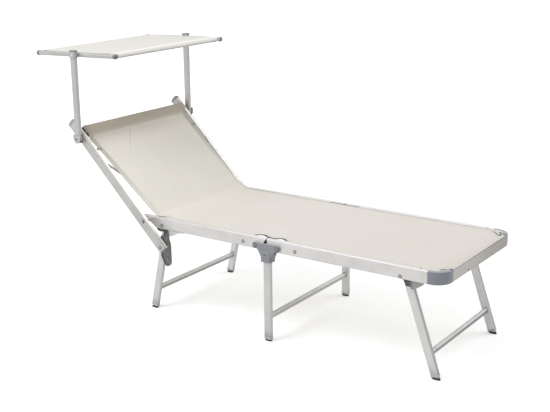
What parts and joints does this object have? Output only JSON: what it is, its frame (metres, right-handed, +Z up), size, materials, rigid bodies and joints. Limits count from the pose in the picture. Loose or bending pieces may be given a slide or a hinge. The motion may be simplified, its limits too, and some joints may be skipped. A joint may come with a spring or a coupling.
{
  "type": "folding sun lounger with canopy",
  "caption": "Folding aluminium sun lounger with stretched cream fabric, reclining back, folding leg frames and a tilting fabric canopy on swinging posts.",
  "frame": {"origin": "on the ground, under the middle of the whole lounger's outline", "axes": "+X toward the foot end, +Y to the left of a person lying on it, +Z up"},
  "size_m": [1.9232, 0.7636, 1.106],
  "materials": {
    "aluminium": "satin anodised",
    "grey_plastic": "moulded satin",
    "dark_steel": "dark grey paint",
    "rubber": "matt",
    "black_plastic": "matt",
    "seat_cloth": "coated open weave",
    "canopy_cloth": "coated open weave",
    "strap": "woven webbing"
  },
  "bodies": {
    "centre_frame": {"fold_saddle_right": "grey_plastic", "fold_saddle_left": "grey_plastic", "middle_leg_right": "aluminium", "middle_leg_left": "aluminium", "middle_crossbar": "aluminium", "middle_shoe_right": "rubber", "middle_shoe_left": "rubber"},
    "seat_section": {"seat_rail_right": "aluminium", "seat_rail_left": "aluminium", "seat_head_bar": "aluminium", "seat_fabric": "seat_cloth", "notched_bracket_right": "dark_steel", "notched_bracket_left": "dark_steel", "rail_gusset_right": "aluminium", "rail_gusset_left": "aluminium"},
    "foot_section": {"foot_rail_right": "aluminium", "foot_rail_left": "aluminium", "end_rail": "aluminium", "foot_fabric": "seat_cloth", "end_corner_right": "grey_plastic", "end_corner_left": "grey_plastic", "leg_bracket_right": "dark_steel", "leg_bracket_left": "dark_steel"},
    "head_legs": {"head_leg_right": "aluminium", "head_leg_left": "aluminium", "head_crossbar": "aluminium", "head_shoe_right": "rubber", "head_shoe_left": "rubber"},
    "foot_legs": {"foot_leg_right": "aluminium", "foot_leg_left": "aluminium", "foot_crossbar": "aluminium", "foot_shoe_right": "rubber", "foot_shoe_left": "rubber"},
    "back_frame": {"back_tube_right": "aluminium", "back_tube_left": "aluminium", "back_tube_cap_right": "black_plastic", "back_tube_cap_left": "black_plastic", "back_top_bar": "aluminium", "back_fabric": "seat_cloth", "upper_strap_right": "strap", "upper_strap_left": "strap", "lower_strap_right": "strap", "lower_strap_left": "strap", "post_mount_right": "dark_steel", "post_mount_left": "dark_steel"},
    "canopy_posts": {"canopy_post_right": "aluminium", "canopy_post_left": "aluminium", "post_cap_right": "black_plastic", "post_cap_left": "black_plastic"},
    "canopy": {"canopy_side_right": "aluminium", "canopy_side_left": "aluminium", "canopy_front_cap_right": "black_plastic", "canopy_front_cap_left": "black_plastic", "canopy_rear_cap_right": "black_plastic", "canopy_rear_cap_left": "black_plastic", "canopy_front_bar": "aluminium", "canopy_rear_bar": "aluminium", "canopy_cloth": "canopy_cloth"}
  },
  "joints": [
    {"name": "seat_section_fold", "type": "hinge", "parent": "centre_frame", "child": "seat_section", "pos_m": [0.14965, 0, 0.396], "axis": [0, -1, 0], "range_deg": [0, 80]},
    {"name": "foot_section_fold", "type": "hinge", "parent": "centre_frame", "child": "foot_section", "pos_m": [0.25365, 0, 0.396], "axis": [0, 1, 0], "range_deg": [0, 80]},
    {"name": "head_legs_fold", "type": "hinge", "parent": "seat_section", "child": "head_legs", "pos_m": [-0.33335, 0, 0.394], "axis": [0, -1, 0], "range_deg": [0, 101]},
    {"name": "foot_legs_fold", "type": "hinge", "parent": "foot_section", "child": "foot_legs", "pos_m": [0.78665, 0, 0.388], "axis": [0, 1, 0], "range_deg": [0, 107]},
    {"name": "backrest_recline", "type": "hinge", "parent": "seat_section", "child": "back_frame", "pos_m": [-0.39835, 0, 0.413], "axis": [0, 1, 0], "range_deg": [-45, 20]},
    {"name": "canopy_post_tilt", "type": "hinge", "parent": "back_frame", "child": "canopy_posts", "pos_m": [-0.72735, 0, 0.731], "axis": [0, 1, 0], "range_deg": [-90, 60]},
    {"name": "canopy_tilt", "type": "hinge", "parent": "canopy_posts", "child": "canopy", "pos_m": [-0.72735, 0, 1.08608], "axis": [0, 1, 0], "range_deg": [-35, 35]}
  ]
}
